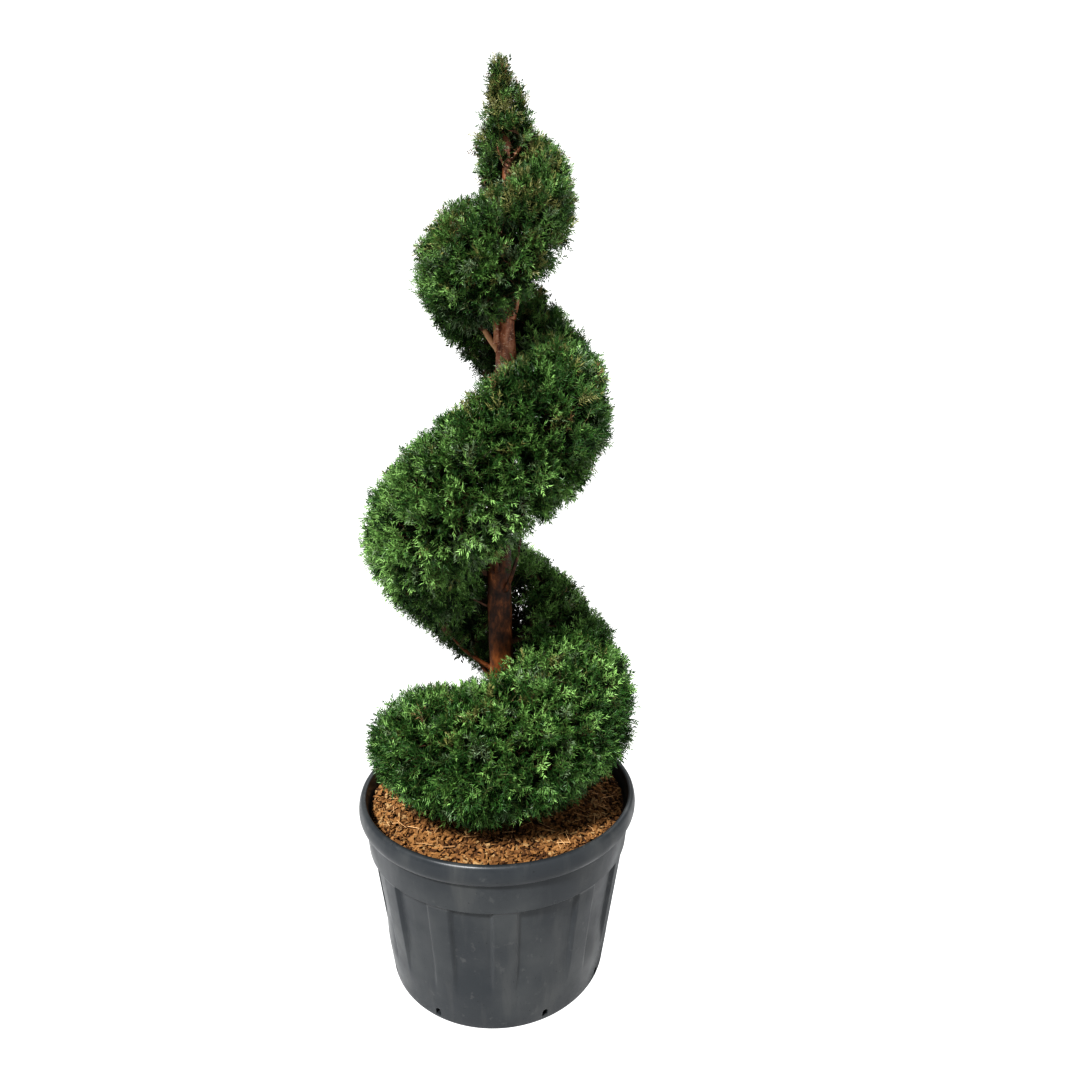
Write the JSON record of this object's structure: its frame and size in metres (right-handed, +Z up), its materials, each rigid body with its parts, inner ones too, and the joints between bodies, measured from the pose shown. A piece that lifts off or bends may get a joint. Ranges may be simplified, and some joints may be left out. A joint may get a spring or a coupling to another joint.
{
  "type": "spiral topiary",
  "caption": "Conifer clipped into a rising spiral of dense foliage round an upright trunk, standing in a round ribbed nursery pot topped with bark mulch.",
  "frame": {"origin": "centre of the pot's flat underside, on the surface it stands on", "axes": "+Z up along the trunk, -Y towards the front, +X to the right seen from the front"},
  "size_m": [0.693, 0.693, 2.18],
  "materials": {
    "pot": "dark slate grey moulded plastic with a soft sheen, slightly dusty",
    "soil": "dark potting compost",
    "mulch": "coarse orange-brown bark chips",
    "bark": "smooth flaking reddish-brown bark with a slight gloss",
    "needles": "dense dark green needles, olive at the clipped tips"
  },
  "bodies": {
    "root": {"bark_mulch": "mulch", "bough_fork": "bark", "bough_low_back": "bark", "bough_low_back_left": "bark", "bough_low_left": "bark", "bough_low_right": "bark", "bough_middle_back_left": "bark", "bough_middle_back_right": "bark", "bough_middle_front": "bark", "bough_middle_left": "bark", "bough_middle_right": "bark", "bough_top_left": "bark", "bough_top_right": "bark", "low_back": "needles", "low_front": "needles", "low_left": "needles", "low_right": "needles", "middle_back": "needles", "middle_front": "needles", "middle_left": "needles", "middle_right": "needles", "pot": "pot", "potting_soil": "soil", "second_tip": "needles", "spire": "needles", "top_left": "needles", "trunk": "bark", "upper_back": "needles", "upper_front": "needles", "upper_left": "needles", "upper_right": "needles"}
  },
  "joints": []
}
